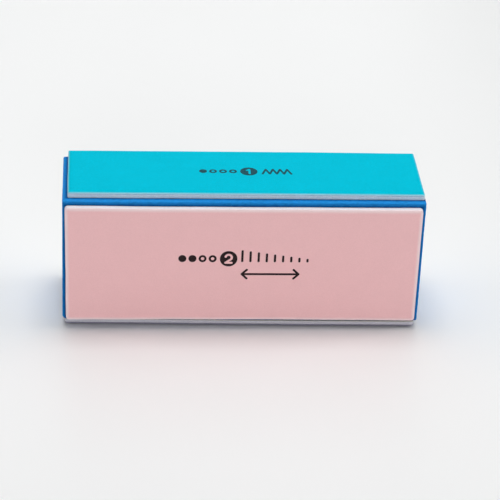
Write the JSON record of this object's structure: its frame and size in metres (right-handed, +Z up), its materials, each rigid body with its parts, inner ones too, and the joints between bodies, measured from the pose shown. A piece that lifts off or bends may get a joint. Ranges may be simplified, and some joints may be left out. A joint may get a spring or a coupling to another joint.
{
  "type": "nail buffer block",
  "caption": "Four-way nail buffer block: a foam stick with a cushioned, printed abrasive strip on each of its long faces, for filing, removing ridges, smoothing and shining nails.",
  "frame": {"origin": "middle of the block's footprint, on the face of the strip that it lies on", "axes": "+X along the block; -Y towards the ridge-removing strip at the front and +Y towards the shining strip at the back; +Z up towards the filing strip"},
  "size_m": [0.095, 0.0296, 0.0391],
  "materials": {
    "core_foam": "matte",
    "pad_foam": "matte",
    "adhesive_film": "satin",
    "abrasive_turquoise": "matte",
    "abrasive_pink": "matte",
    "abrasive_white": "matte",
    "abrasive_grey": "satin",
    "legend_ink": "matte"
  },
  "bodies": {
    "root": {"foam_core": "core_foam", "top_mount_adhesive": "adhesive_film", "top_foam_pad": "pad_foam", "top_sheet_adhesive": "adhesive_film", "top_abrasive_sheet": "abrasive_turquoise", "top_legend_ink": "legend_ink", "front_mount_adhesive": "adhesive_film", "front_foam_pad": "pad_foam", "front_sheet_adhesive": "adhesive_film", "front_abrasive_sheet": "abrasive_pink", "front_legend_ink": "legend_ink", "bottom_mount_adhesive": "adhesive_film", "bottom_foam_pad": "pad_foam", "bottom_sheet_adhesive": "adhesive_film", "bottom_abrasive_sheet": "abrasive_grey", "bottom_legend_ink": "legend_ink", "back_mount_adhesive": "adhesive_film", "back_foam_pad": "pad_foam", "back_sheet_adhesive": "adhesive_film", "back_abrasive_sheet": "abrasive_white", "back_legend_ink": "legend_ink"}
  },
  "joints": []
}
